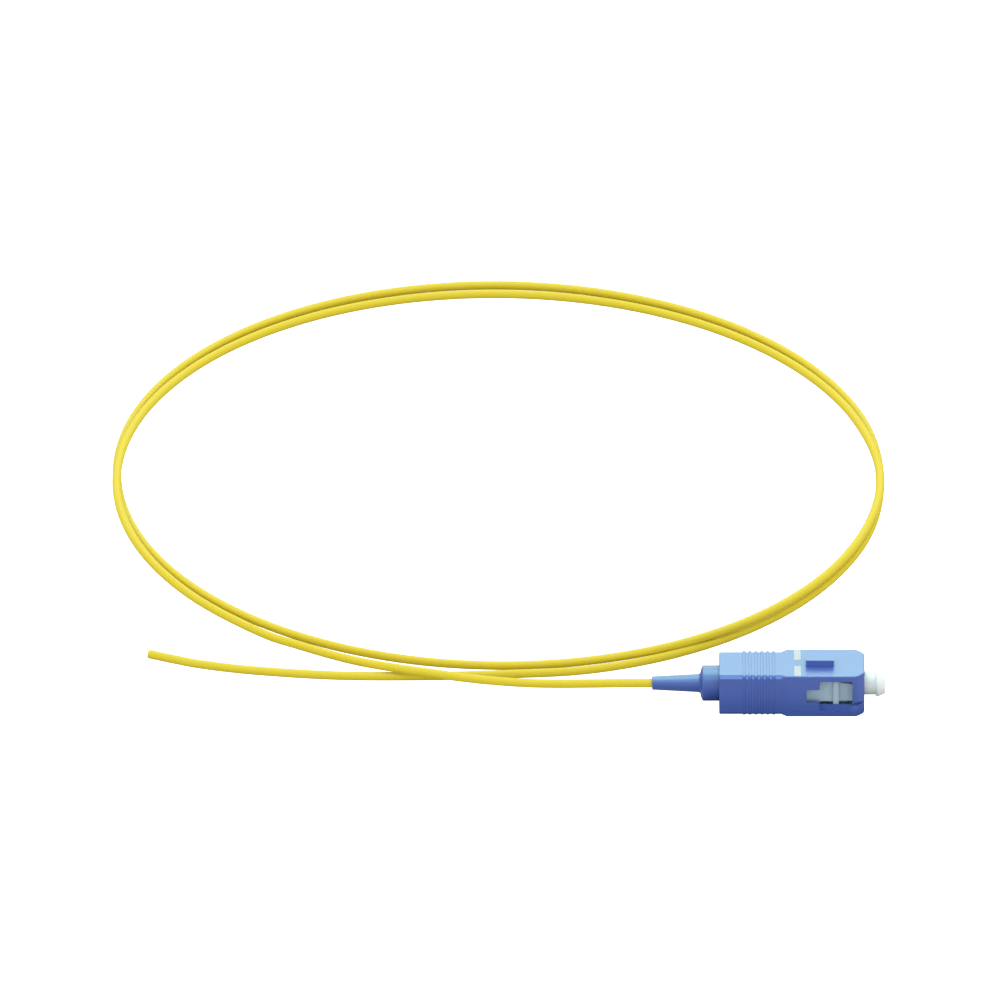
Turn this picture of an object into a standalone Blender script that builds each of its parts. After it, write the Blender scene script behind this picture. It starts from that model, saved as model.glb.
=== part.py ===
"""A simplex fibre optic pigtail: a square push-pull connector on a small yellow cord.

Lengths are in metres and +Z is up. The plug's axis runs along X with its mating end towards +X.
The origin is on the floor, below the middle of the plug, and the plug lies on its flat bottom face.
Places along the plug are given as a distance behind the housing's front face, which is at FRONT_X.
"""

import math

import bmesh
import bpy
from mathutils import Matrix, Vector

MM = 0.001

# Grip housing: the outer shell that the fingers hold.
HOUSING_LENGTH = 23.3 * MM
HOUSING_WIDTH = 9.0 * MM
HOUSING_HEIGHT = 7.4 * MM
FRONT_X = 15.4 * MM
FRONT_CHAMFER = 1.25 * MM
FRONT_EDGE_BEVEL = 0.2 * MM
GRIP_LENGTH = 10.0 * MM
RAMP_LENGTH = 0.9 * MM
GRIP_SIDE_INSET = 0.25 * MM
GRIP_TOP_INSET = 0.12 * MM
GRIP_EDGE_CHAMFER = 0.5 * MM
CAVITY_WIDTH = 7.2 * MM
CAVITY_HEIGHT = 6.0 * MM
LIP_LENGTH = 1.2 * MM

# Ribs that stand round the grip.
RIB_COUNT = 6
RIB_PITCH = 0.95 * MM
RIB_WIDTH = 0.5 * MM
RIB_HEIGHT = 0.06 * MM
RIB_EDGE_CHAMFER = 0.2 * MM
LAST_RIB_BACK = 14.3 * MM

# Key on the top face, and the T-shaped latch window through both sides.
KEY_LENGTH = 4.5 * MM
KEY_WIDTH = 2.4 * MM
KEY_HEIGHT = 1.1 * MM
KEY_BACK = 4.9 * MM
WINDOW_BACK = 1.95 * MM
WINDOW_LENGTH = 5.25 * MM
WINDOW_HEIGHT = 5.4 * MM
NOTCH_LENGTH = 2.1 * MM
NOTCH_HEIGHT = 2.45 * MM
CHANNEL_HEIGHT = 0.5 * MM
CHANNEL_DEPTH = 0.35 * MM
CHANNEL_BELOW_AXIS = 1.45 * MM

# Clearances: a sliding fit, a seated face, the bore round the cord and the flange in its chamber.
SLIDE_GAP = 0.1 * MM
SEAT_GAP = 0.3 * MM
CORD_GAP = 0.1 * MM
FLANGE_GAP = 0.36 * MM

# Plug frame: the pale inner body that the latch hooks of an adapter grip.
FRAME_RECESS = 0.6 * MM
NOSE_LENGTH = 1.3 * MM
NOSE_WIDTH = 5.8 * MM
NOSE_HEIGHT = 5.4 * MM
BLOCK_WIDTH = 5.6 * MM
BLOCK_HEIGHT = 3.7 * MM
BLOCK_FRONT_HEIGHT = 3.2 * MM
BLOCK_SLOPE_LENGTH = 2.3 * MM
RIDGE_BACK = 4.15 * MM
RIDGE_LENGTH = 0.85 * MM
RIDGE_WIDTH = 6.6 * MM
RIDGE_HEIGHT = 4.1 * MM
ARM_HEIGHT = 3.4 * MM
ARM_WIDTH = 5.4 * MM
COUNTERBORE_FLOOR = 0.25 * MM
CHAMBER_LENGTH = 8.1 * MM
FRAME_JOIN = 0.3 * MM

# Ferrule, its metal flange, the spring behind it and the stop ring that holds the spring in.
FERRULE_DIAMETER = 2.5 * MM
FERRULE_PROUD = 2.2 * MM
FERRULE_TIP_CHAMFER = 0.35 * MM
FLOAT_TRAVEL = 0.8 * MM
FLANGE_DIAMETER = 4.4 * MM
FLANGE_THICKNESS = 1.6 * MM
FLANGE_TUBE_LENGTH = 2.2 * MM
FLANGE_WALL = 0.2 * MM
FERRULE_IN_FLANGE = 1.3 * MM
SPRING_WIRE = 0.4 * MM
SPRING_DIAMETER = 4.2 * MM
SPRING_TURNS = 5
SPRING_LENGTH = 3.2 * MM
STOP_RING_BARREL = 3.4 * MM
STOP_RING_COLLAR = 5.5 * MM
STOP_RING_COLLAR_LENGTH = 0.5 * MM
STOP_RING_TAIL = 6.2 * MM

# Dust cap on the ferrule.
CAP_NECK_DIAMETER = 3.7 * MM
CAP_FLANGE_DIAMETER = 4.25 * MM
CAP_END_DIAMETER = 3.4 * MM
CAP_NECK_PROUD = 1.86 * MM
CAP_FLANGE_THICKNESS = 0.4 * MM
CAP_END_LENGTH = 1.1 * MM
CAP_EDGE = 0.15 * MM

# Boot: a wide collar that slides in the housing, then a short taper over the cord.
COLLAR_DIAMETER = 5.7 * MM
COLLAR_PROUD = 2.95 * MM
COLLAR_CHAMFER = 0.28 * MM
COLLAR_CHAMFER_DEPTH = 0.3 * MM
TAPER_LENGTH = 7.5 * MM
TAPER_FRONT_DIAMETER = 2.95 * MM
TAPER_TIP_DIAMETER = 2.15 * MM

# Cord: a small yellow buffer, wound in two loose turns that lie on the floor.
CORD_DIAMETER = 1.4 * MM
LOOP_X = -43.3 * MM
LOOP_NEAR_Y = 71.85 * MM
LOOP_FAR_Y = 74.8 * MM
LOOP_HALF_WIDTH = 61.9 * MM
LOOP_HALF_DEPTH = 63.7 * MM
LOOP_SKEW = 0.75 * MM
# In degrees from the near side: where the second turn climbs onto the first, and crosses it.
CLIMB_START = 8
CLIMB_END = 42
CROSS_START = 78
CROSS_END = 104
# Past the crossing it rides on the first near the sides, and moves nearer as it rises.
RIDE_REACH = 0.77
RIDE_SLANT = 1.8
# Where it lies on top of the first on the near side, it sits this far towards the viewer.
RIDE_LEAN = 0.25 * MM
TURN_POINTS = 28
STRAND_GAP = 0.35 * MM

ROUND_SIDES = 32

# How far a cutter reaches past the face that it opens.
CUTTER_PAST = 1.0 * MM

# Heights and places along X that follow from the sizes above.
AXIS_Z = HOUSING_HEIGHT / 2
REAR_X = FRONT_X - HOUSING_LENGTH
GRIP_FRONT_X = REAR_X + GRIP_LENGTH
RAMP_FRONT_X = GRIP_FRONT_X + RAMP_LENGTH
NOSE_X = FRONT_X - FRAME_RECESS
BLOCK_X = NOSE_X - NOSE_LENGTH
WINDOW_X = FRONT_X - WINDOW_BACK
NOTCH_X = WINDOW_X - WINDOW_LENGTH
CHAMBER_X = NOTCH_X - NOTCH_LENGTH
FRAME_REAR_X = CHAMBER_X - CHAMBER_LENGTH
CAVITY_REAR_X = FRAME_REAR_X - SEAT_GAP
FLANGE_X = CHAMBER_X - FLANGE_GAP
FLANGE_REAR_X = FLANGE_X - FLANGE_THICKNESS
SPRING_X = FLANGE_REAR_X - FLOAT_TRAVEL - SLIDE_GAP
STOP_RING_X = SPRING_X - SPRING_LENGTH - SEAT_GAP
STOP_COLLAR_X = FRAME_REAR_X - SEAT_GAP
BOOT_X = STOP_COLLAR_X - STOP_RING_COLLAR_LENGTH - SEAT_GAP
STOP_RING_REAR_X = BOOT_X - STOP_RING_TAIL
COLLAR_REAR_X = REAR_X - COLLAR_PROUD
TAPER_X = COLLAR_REAR_X - COLLAR_CHAMFER_DEPTH
BOOT_TIP_X = TAPER_X - TAPER_LENGTH
CORD_END_X = STOP_RING_REAR_X - SEAT_GAP
CAP_FLANGE_X = FRONT_X + CAP_NECK_PROUD
CAP_TIP_X = CAP_FLANGE_X + CAP_FLANGE_THICKNESS + CAP_END_LENGTH
CAP_REAR_X = BLOCK_X + COUNTERBORE_FLOOR + SLIDE_GAP
CHAMBER_DIAMETER = FLANGE_DIAMETER + 2 * SLIDE_GAP
FERRULE_BORE = FERRULE_DIAMETER + 2 * SLIDE_GAP
FERRULE_TIP_X = FRONT_X + FERRULE_PROUD
FERRULE_REAR_X = FLANGE_X - FERRULE_IN_FLANGE
REAR_BODY_WIDTH = CAVITY_WIDTH - 2 * SLIDE_GAP
REAR_BODY_HEIGHT = CAVITY_HEIGHT - 2 * SLIDE_GAP
CORD_RADIUS = CORD_DIAMETER / 2

# The cut end's tail, from the cut to the near loop: X and Y on the floor, in millimetres.
TAIL_ROUTE = [
    (-99.5, 14.9),
    (-95.8, 13.3),
    (-91.6, 11.65),
    (-85.5, 10.05),
    (-79.2, 8.95),
    (-72.1, 8.05),
    (-65.8, 7.65),
    (-58.6, 7.6),
    (-51.45, 7.75),
    (-44.0, 8.15),
]

# The plug's tail, from the near loop over the cut end's tail to the boot: X, Y and Z in millimetres.
PLUG_ROUTE = [
    (-81.7, 21.95, 0.8),
    (-75.2, 16.95, 1.1),
    (-68.8, 12.3, 1.6),
    (-63.95, 9.4, 2.0),
    (-59.1, 7.15, 2.35),
    (-54.3, 5.5, 2.5),
    (-49.5, 4.25, 2.4),
    (-44.7, 3.45, 2.25),
    (-39.0, 2.8, 2.15),
    (-33.5, 2.1, 2.4),
    (-27.1, 1.15, 3.0),
    (-22.5, 0.35, 3.5),
    (-18.7, 0.0, 3.7),
]


def clear_scene():
    """Remove the objects that a new file starts with."""
    for obj in list(bpy.data.objects):
        bpy.data.objects.remove(obj, do_unlink=True)


def new_collection(name):
    collection = bpy.data.collections.new(name)
    bpy.context.scene.collection.children.link(collection)
    return collection


def new_material(name, colour, roughness, metallic=0.0, alpha=1.0):
    material = bpy.data.materials.new(name)
    material.use_nodes = True
    shader = material.node_tree.nodes["Principled BSDF"]
    shader.inputs["Base Color"].default_value = (*colour, 1.0)
    shader.inputs["Roughness"].default_value = roughness
    shader.inputs["Metallic"].default_value = metallic
    shader.inputs["Alpha"].default_value = alpha
    return material


def object_from(bm, name, collection, material=None):
    """Turn a bmesh into an object, with its normals outwards."""
    bmesh.ops.recalc_face_normals(bm, faces=bm.faces)
    mesh = bpy.data.meshes.new(name)
    bm.to_mesh(mesh)
    bm.free()
    obj = bpy.data.objects.new(name, mesh)
    collection.objects.link(obj)
    if material:
        mesh.materials.append(material)
    return obj


def box_mesh(rear_x, front_x, width, height, middle_z=AXIS_Z):
    """A box between two X positions, centred on the plug's axis."""
    bm = bmesh.new()
    place = Matrix.Translation(((rear_x + front_x) / 2, 0, middle_z))
    size = Matrix.Diagonal((front_x - rear_x, width, height, 1))
    bmesh.ops.create_cube(bm, size=1.0, matrix=place @ size)
    return bm


def edges_along(bm, axis):
    """The edges of a box that run along one axis."""
    found = []
    for edge in bm.edges:
        direction = (edge.verts[1].co - edge.verts[0].co).normalized()
        if abs(direction[axis]) > 0.99:
            found.append(edge)
    return found


def bevel_edges(bm, edges, width, segments=1):
    bmesh.ops.bevel(bm, geom=edges, offset=width, segments=segments, profile=0.5, affect="EDGES")


def resize_end(bm, x, width, height):
    """Set the section of a box at one of its ends."""
    for vert in bm.verts:
        if abs(vert.co.x - x) < 0.01 * MM:
            vert.co.y = math.copysign(width / 2, vert.co.y)
            vert.co.z = AXIS_Z + math.copysign(height / 2, vert.co.z - AXIS_Z)


def turned(name, outline, collection, material=None, sides=ROUND_SIDES):
    """Turn an outline of (X, radius) points about the plug's axis with a Screw modifier.

    The outline runs from the front to the rear on its outer side. One that starts and ends on the
    axis is solid, and any other is closed by its last side, the bore.
    """
    bm = bmesh.new()
    verts = [bm.verts.new((radius, 0, x)) for x, radius in outline]
    for first, second in zip(verts, verts[1:]):
        bm.edges.new((first, second))
    if outline[0][1] > 0:
        bm.edges.new((verts[-1], verts[0]))
    mesh = bpy.data.meshes.new(name)
    bm.to_mesh(mesh)
    bm.free()
    obj = bpy.data.objects.new(name, mesh)
    collection.objects.link(obj)
    obj.location.z = AXIS_Z
    obj.rotation_euler.y = math.radians(90)
    if material:
        mesh.materials.append(material)
    screw = obj.modifiers.new("Turn", "SCREW")
    screw.axis = "Z"
    screw.steps = sides
    screw.render_steps = sides
    screw.use_merge_vertices = True
    screw.merge_threshold = 0.00001
    screw.use_smooth_shade = True
    return obj


def helper(obj):
    """Mark an object that only shapes another one."""
    obj.hide_render = True
    obj.display_type = "WIRE"
    return obj


def boolean(obj, other, operation):
    modifier = obj.modifiers.new(f"{operation.title()} {other.name}", "BOOLEAN")
    modifier.operation = operation
    modifier.object = other
    modifier.solver = "EXACT"


def add(obj, other):
    boolean(obj, helper(other), "UNION")


def cut(obj, other):
    boolean(obj, helper(other), "DIFFERENCE")


def grip_block(grow, chamfer, rear_x, front_x):
    """A length of the grip's section, grown on every side."""
    width = HOUSING_WIDTH - 2 * GRIP_SIDE_INSET + 2 * grow
    height = HOUSING_HEIGHT - 2 * GRIP_TOP_INSET + 2 * grow
    bm = box_mesh(rear_x, front_x, width, height)
    bevel_edges(bm, edges_along(bm, 0), chamfer)
    return bm


def make_grip_housing(parts, cutters, material):
    """The shell: a full-width front with its key and windows, a ramp, and a ribbed grip behind."""
    bm = box_mesh(RAMP_FRONT_X, FRONT_X, HOUSING_WIDTH, HOUSING_HEIGHT)
    middle_x = (RAMP_FRONT_X + FRONT_X) / 2
    front_corners = [edge for edge in edges_along(bm, 2) if edge.verts[0].co.x > middle_x]
    bevel_edges(bm, front_corners, FRONT_CHAMFER)
    rear_face = min(bm.faces, key=lambda face: face.calc_center_median().x)
    ramp = bmesh.ops.extrude_face_region(bm, geom=[rear_face])
    bm.faces.remove(rear_face)
    ramp_verts = [v for v in ramp["geom"] if isinstance(v, bmesh.types.BMVert)]
    for vert in ramp_verts:
        vert.co.x = GRIP_FRONT_X
    # The ramp starts just inside the grip, so that the two join on crossing faces.
    inside = 2 * SLIDE_GAP
    resize_end(
        bm,
        GRIP_FRONT_X,
        HOUSING_WIDTH - 2 * GRIP_SIDE_INSET - inside,
        HOUSING_HEIGHT - 2 * GRIP_TOP_INSET - inside,
    )
    housing = object_from(bm, "grip_housing", parts, material)
    edge = housing.modifiers.new("Edges", "BEVEL")
    edge.width = FRONT_EDGE_BEVEL
    edge.segments = 1
    edge.limit_method = "ANGLE"
    edge.angle_limit = math.radians(40)

    overlap = RAMP_LENGTH / 2
    grip = grip_block(0, GRIP_EDGE_CHAMFER, REAR_X, GRIP_FRONT_X + overlap)
    add(housing, object_from(grip, "grip_body", cutters))
    for number in range(RIB_COUNT):
        rib_x = FRONT_X - LAST_RIB_BACK - number * RIB_PITCH
        rib = grip_block(RIB_HEIGHT, RIB_EDGE_CHAMFER, rib_x - RIB_WIDTH, rib_x)
        add(housing, object_from(rib, f"rib_{number + 1}", cutters))

    key_front = FRONT_X - KEY_BACK
    key_base = HOUSING_HEIGHT - 2 * FRONT_EDGE_BEVEL
    key_top = HOUSING_HEIGHT + KEY_HEIGHT
    key = box_mesh(
        key_front - KEY_LENGTH, key_front, KEY_WIDTH, key_top - key_base, (key_top + key_base) / 2
    )
    upper = [e for e in key.edges if min(v.co.z for v in e.verts) > key_base + KEY_HEIGHT / 2]
    bevel_edges(key, upper, FRONT_EDGE_BEVEL)
    add(housing, object_from(key, "key", cutters))

    past = CUTTER_PAST
    cavity = box_mesh(CAVITY_REAR_X, FRONT_X - LIP_LENGTH, CAVITY_WIDTH, CAVITY_HEIGHT)
    cut(housing, object_from(cavity, "cavity", cutters))
    mouth_width = NOSE_WIDTH + 2 * SLIDE_GAP
    mouth = box_mesh(FRONT_X - 2 * LIP_LENGTH, FRONT_X + past, mouth_width, REAR_BODY_HEIGHT)
    cut(housing, object_from(mouth, "mouth", cutters))
    hole_radius = COLLAR_DIAMETER / 2 + SLIDE_GAP + FRONT_EDGE_BEVEL / 2
    rear_hole = [
        (CAVITY_REAR_X + past, 0),
        (CAVITY_REAR_X + past, hole_radius),
        (REAR_X - past, hole_radius),
        (REAR_X - past, 0),
    ]
    cut(housing, turned("rear_hole", rear_hole, cutters))
    window = box_mesh(NOTCH_X, WINDOW_X, HOUSING_WIDTH + 2 * past, WINDOW_HEIGHT)
    cut(housing, object_from(window, "window", cutters))
    notch = box_mesh(CHAMBER_X, NOTCH_X + past, HOUSING_WIDTH + 3 * past, NOTCH_HEIGHT)
    cut(housing, object_from(notch, "window_notch", cutters))
    for side, name in ((-1, "channel_near"), (1, "channel_far")):
        channel = box_mesh(
            WINDOW_X - past,
            FRONT_X + past,
            2 * CHANNEL_DEPTH,
            CHANNEL_HEIGHT,
            AXIS_Z - CHANNEL_BELOW_AXIS,
        )
        bmesh.ops.translate(channel, verts=channel.verts, vec=(0, side * HOUSING_WIDTH / 2, 0))
        cut(housing, object_from(channel, name, cutters))
    return housing


def make_plug_frame(parts, cutters, material):
    """The inner frame: a square nose, a latch block with a ridge, thin arms and a rear body."""
    bm = box_mesh(BLOCK_X, NOSE_X, NOSE_WIDTH, NOSE_HEIGHT)
    bevel_edges(bm, edges_along(bm, 0), 2 * FRONT_EDGE_BEVEL)
    frame = object_from(bm, "plug_frame", parts, material)

    slope_x = BLOCK_X - BLOCK_SLOPE_LENGTH
    block = box_mesh(NOTCH_X, slope_x, BLOCK_WIDTH, BLOCK_HEIGHT)
    add(frame, object_from(block, "latch_block", cutters))
    slope = box_mesh(
        slope_x - FRAME_JOIN, BLOCK_X + FRAME_JOIN, BLOCK_WIDTH - SLIDE_GAP, BLOCK_FRONT_HEIGHT
    )
    resize_end(slope, slope_x - FRAME_JOIN, BLOCK_WIDTH - SLIDE_GAP, BLOCK_HEIGHT - SLIDE_GAP)
    add(frame, object_from(slope, "latch_slope", cutters))
    ridge_front = FRONT_X - RIDGE_BACK
    ridge = box_mesh(ridge_front - RIDGE_LENGTH, ridge_front, RIDGE_WIDTH, RIDGE_HEIGHT)
    add(frame, object_from(ridge, "latch_ridge", cutters))
    arm = box_mesh(CHAMBER_X - FRAME_JOIN, NOTCH_X + FRAME_JOIN, ARM_WIDTH, ARM_HEIGHT)
    add(frame, object_from(arm, "latch_arm", cutters))
    core_radius = FERRULE_BORE / 2 + FRONT_EDGE_BEVEL
    core = [
        (NOTCH_X + FRAME_JOIN, 0),
        (NOTCH_X + FRAME_JOIN, core_radius),
        (CHAMBER_X - FRAME_JOIN, core_radius),
        (CHAMBER_X - FRAME_JOIN, 0),
    ]
    add(frame, turned("core_tube", core, cutters))
    rear = box_mesh(FRAME_REAR_X, CHAMBER_X, REAR_BODY_WIDTH, REAR_BODY_HEIGHT)
    bevel_edges(rear, edges_along(rear, 0), 2 * FRONT_EDGE_BEVEL)
    add(frame, object_from(rear, "rear_body", cutters))

    past = CUTTER_PAST
    counterbore = CAP_NECK_DIAMETER / 2 + SEAT_GAP
    counterbore_x = BLOCK_X + COUNTERBORE_FLOOR
    chamber = CHAMBER_DIAMETER / 2
    chamber_front = CHAMBER_X - SLIDE_GAP
    bores = [
        (NOSE_X + past, 0),
        (NOSE_X + past, counterbore),
        (counterbore_x, counterbore),
        (counterbore_x, FERRULE_BORE / 2),
        (chamber_front, FERRULE_BORE / 2),
        (chamber_front, chamber),
        (FRAME_REAR_X - past, chamber),
        (FRAME_REAR_X - past, 0),
    ]
    cut(frame, turned("frame_bores", bores, cutters))
    return frame


def make_ferrule(parts, material):
    """The ceramic ferrule: a plain rod with a chamfered tip."""
    radius = FERRULE_DIAMETER / 2
    outline = [
        (FERRULE_TIP_X, 0),
        (FERRULE_TIP_X, radius - FERRULE_TIP_CHAMFER),
        (FERRULE_TIP_X - FERRULE_TIP_CHAMFER, radius),
        (FERRULE_REAR_X, radius),
        (FERRULE_REAR_X, 0),
    ]
    return turned("ferrule", outline, parts, material)


def make_ferrule_flange(parts, material):
    """The metal flange on the ferrule's rear end, with a short tube behind that guides the spring."""
    bore = FERRULE_DIAMETER / 2 + SLIDE_GAP / 2
    tube = bore + FLANGE_WALL
    tube_rear = FLANGE_REAR_X - FLANGE_TUBE_LENGTH
    outline = [
        (FLANGE_X, FLANGE_DIAMETER / 2),
        (FLANGE_REAR_X, FLANGE_DIAMETER / 2),
        (FLANGE_REAR_X, tube),
        (tube_rear, tube),
        (tube_rear, bore),
        (FLANGE_X, bore),
    ]
    return turned("ferrule_flange", outline, parts, material)


def make_spring(parts, material):
    """The ferrule's spring, at the length it has when the ferrule is pushed all the way back."""
    wire = SPRING_WIRE / 2
    coil = SPRING_DIAMETER / 2 - wire
    steps = 12 * SPRING_TURNS
    points = []
    for step in range(steps + 1):
        angle = 2 * math.pi * SPRING_TURNS * step / steps
        x = SPRING_X - wire - (SPRING_LENGTH - SPRING_WIRE) * step / steps
        points.append((x, coil * math.cos(angle), AXIS_Z + coil * math.sin(angle)))
    return tube("spring", points, wire, parts, material)


def make_stop_ring(parts, material):
    """The metal ring behind the frame: it closes the spring's chamber and carries the boot."""
    front = CHAMBER_DIAMETER / 2 - SLIDE_GAP
    barrel = STOP_RING_BARREL / 2
    bore = CORD_RADIUS + CORD_GAP
    collar_rear = STOP_COLLAR_X - STOP_RING_COLLAR_LENGTH
    outline = [
        (STOP_RING_X, front),
        (STOP_COLLAR_X, front),
        (STOP_COLLAR_X, STOP_RING_COLLAR / 2),
        (collar_rear, STOP_RING_COLLAR / 2),
        (collar_rear, barrel),
        (STOP_RING_REAR_X, barrel),
        (STOP_RING_REAR_X, bore),
        (STOP_RING_X, bore),
    ]
    return turned("stop_ring", outline, parts, material)


def make_boot(parts, material):
    """The boot: its collar fills the housing's rear hole, and its taper holds the cord straight."""
    collar = COLLAR_DIAMETER / 2
    barrel_bore = STOP_RING_BARREL / 2 + SLIDE_GAP
    cord_bore = CORD_RADIUS + CORD_GAP
    step_x = STOP_RING_REAR_X - SEAT_GAP
    outline = [
        (BOOT_X, collar),
        (COLLAR_REAR_X, collar),
        (COLLAR_REAR_X - COLLAR_CHAMFER_DEPTH / 2, collar - COLLAR_CHAMFER),
        (COLLAR_REAR_X - COLLAR_CHAMFER_DEPTH / 2, TAPER_FRONT_DIAMETER / 2 + COLLAR_CHAMFER),
        (TAPER_X, TAPER_FRONT_DIAMETER / 2),
        (BOOT_TIP_X, TAPER_TIP_DIAMETER / 2),
        (BOOT_TIP_X, cord_bore),
        (step_x, cord_bore),
        (step_x, barrel_bore),
        (BOOT_X, barrel_bore),
    ]
    return turned("boot", outline, parts, material)


def make_dust_cap(parts, material):
    """The soft cap: a neck that slips over the ferrule, a grip flange and a tapered closed end."""
    neck = CAP_NECK_DIAMETER / 2
    flange = CAP_FLANGE_DIAMETER / 2
    end = CAP_END_DIAMETER / 2
    bore = FERRULE_BORE / 2
    bore_x = FERRULE_TIP_X + SEAT_GAP
    outline = [
        (CAP_TIP_X, 0),
        (CAP_TIP_X, end - CAP_EDGE),
        (CAP_TIP_X - CAP_EDGE, end),
        (CAP_FLANGE_X + CAP_FLANGE_THICKNESS, flange),
        (CAP_FLANGE_X, flange),
        (CAP_FLANGE_X, neck),
        (CAP_REAR_X, neck),
        (CAP_REAR_X, bore),
        (bore_x, bore),
        (bore_x, 0),
    ]
    return turned("dust_cap", outline, parts, material)


def tube(name, points, radius, collection, material):
    """A round rod along a line of points, closed at both ends."""
    curve = bpy.data.curves.new(name, "CURVE")
    curve.dimensions = "3D"
    curve.bevel_depth = radius
    curve.bevel_resolution = 2
    curve.use_fill_caps = True
    spline = curve.splines.new("POLY")
    spline.points.add(len(points) - 1)
    for place, point in zip(spline.points, points):
        place.co = (*point, 1)
    spline.use_smooth = True
    obj = bpy.data.objects.new(name, curve)
    collection.objects.link(obj)
    curve.materials.append(material)
    return obj


def smoothstep(value):
    value = min(max(value, 0.0), 1.0)
    return value * value * (3 - 2 * value)


def loop_point(turn, angle):
    """A point of the first or second turn, at an angle from the loop's near side.

    The first turn lies on the floor. The second starts beyond it, climbs onto it on the right,
    crosses it at the loop's right side and then lies nearer than it. At the left side, where the
    two meet again, it passes over once more.
    """
    degrees = math.degrees(angle)
    spread = LOOP_FAR_Y - LOOP_NEAR_Y
    pitch = CORD_DIAMETER + STRAND_GAP
    cross = smoothstep((degrees - CROSS_START) / (CROSS_END - CROSS_START))
    middle_y = LOOP_NEAR_Y + spread * cross
    climb = 0.0
    if turn == 2:
        lift = smoothstep((degrees - CLIMB_START) / (CLIMB_END - CLIMB_START))
        if degrees < 90:
            climb = pitch * lift
        else:
            climb = pitch * smoothstep(1 - abs(math.cos(angle)) / RIDE_REACH)
        beyond = spread * (1 - lift) - RIDE_LEAN * lift
        nearer = spread + RIDE_SLANT * climb
        middle_y += beyond * (1 - cross) - nearer * cross
    x = LOOP_X + LOOP_HALF_WIDTH * math.sin(angle)
    y = middle_y - LOOP_HALF_DEPTH * math.cos(angle) - LOOP_SKEW * math.sin(angle)
    return Vector((x, y, CORD_RADIUS + climb))


def curve_through(points, per_span):
    """Points on a smooth Catmull-Rom curve through the route's own points."""
    ends = [2 * points[0] - points[1], *points, 2 * points[-1] - points[-2]]
    found = []
    for before, start, end, after in zip(ends, ends[1:], ends[2:], ends[3:]):
        for step in range(per_span):
            t = step / per_span
            found.append(
                0.5
                * (
                    2 * start
                    + (end - before) * t
                    + (2 * before - 5 * start + 4 * end - after) * t**2
                    + (3 * start - before - 3 * end + after) * t**3
                )
            )
    found.append(points[-1])
    return found


def cord_route():
    """The cord's centre line, from its cut end to its end in the boot."""
    tail = [Vector((x * MM, y * MM, CORD_RADIUS)) for x, y in TAIL_ROUTE]
    step = 2 * math.pi / TURN_POINTS
    first = [loop_point(1, number * step) for number in range(1, TURN_POINTS + 1)]
    # The second turn leaves the loop early: from there on the plug's tail is hand made.
    second = [loop_point(2, number * step) for number in range(1, TURN_POINTS - 3)]
    plug = [Vector((x * MM, y * MM, z * MM)) for x, y, z in PLUG_ROUTE]
    inside = [Vector((CORD_END_X, 0, AXIS_Z))]
    return curve_through(tail + first + second + plug + inside, 1)


def make_cord(parts, material):
    """The yellow cord: a short cut tail, two turns on the floor, and the lead into the boot."""
    return tube("cord", cord_route(), CORD_RADIUS, parts, material)


def main():
    clear_scene()
    parts = new_collection("fibre_optic_pigtail")
    cutters = new_collection("cutters")
    blue = new_material("blue moulded plastic", (0.03, 0.09, 0.42), 0.35)
    pale = new_material("pale moulded plastic", (0.42, 0.53, 0.58), 0.4)
    ceramic = new_material("white zirconia", (0.86, 0.86, 0.83), 0.2)
    steel = new_material("nickel plated metal", (0.62, 0.6, 0.56), 0.3, metallic=1.0)
    clear = new_material("translucent soft plastic", (0.8, 0.84, 0.83), 0.35, alpha=0.6)
    yellow = new_material("yellow cord jacket", (0.78, 0.62, 0.06), 0.45)

    make_grip_housing(parts, cutters, blue)
    make_plug_frame(parts, cutters, pale)
    make_ferrule(parts, ceramic)
    make_ferrule_flange(parts, steel)
    make_spring(parts, steel)
    make_stop_ring(parts, steel)
    make_boot(parts, blue)
    make_dust_cap(parts, clear)
    make_cord(parts, yellow)


main()
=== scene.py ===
# %% [markdown]
# # A fibre optic pigtail
#
# A pigtail is a short cord with a plug on one end. The other end is bare, because it is spliced to a
# long cable inside a cabinet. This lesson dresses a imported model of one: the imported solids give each
# piece its size and place, and the cells below give each piece its real surface.

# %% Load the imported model
import math

import bmesh
import bpy
from mathutils import Matrix, Vector


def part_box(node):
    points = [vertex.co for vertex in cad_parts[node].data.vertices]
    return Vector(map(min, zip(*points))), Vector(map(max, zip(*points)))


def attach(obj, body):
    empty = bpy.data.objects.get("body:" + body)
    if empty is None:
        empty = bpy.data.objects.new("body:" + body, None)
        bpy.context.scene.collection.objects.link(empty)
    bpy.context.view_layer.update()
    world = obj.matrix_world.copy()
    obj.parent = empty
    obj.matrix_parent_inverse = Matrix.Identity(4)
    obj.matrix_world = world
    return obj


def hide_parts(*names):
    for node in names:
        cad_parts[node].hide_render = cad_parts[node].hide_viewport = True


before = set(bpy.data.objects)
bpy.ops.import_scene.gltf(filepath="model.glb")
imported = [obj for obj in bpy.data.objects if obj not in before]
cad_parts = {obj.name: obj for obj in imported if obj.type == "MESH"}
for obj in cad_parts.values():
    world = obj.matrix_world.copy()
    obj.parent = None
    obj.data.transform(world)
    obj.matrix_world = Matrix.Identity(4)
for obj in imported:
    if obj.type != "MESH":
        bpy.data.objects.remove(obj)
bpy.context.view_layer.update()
print("nodes:", ", ".join(sorted(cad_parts)))

# %% [markdown]
# Blender works in metres, and this object is a few centimetres long, so sizes are written in
# millimetres times MM. Colours are written as the sRGB hex values of a colour picker, and one function
# turns them into the linear values that the shader wants.

# %% Units, colours and one function that adds a node
MM = 0.001
WHITE = "#FFFFFF"


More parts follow.
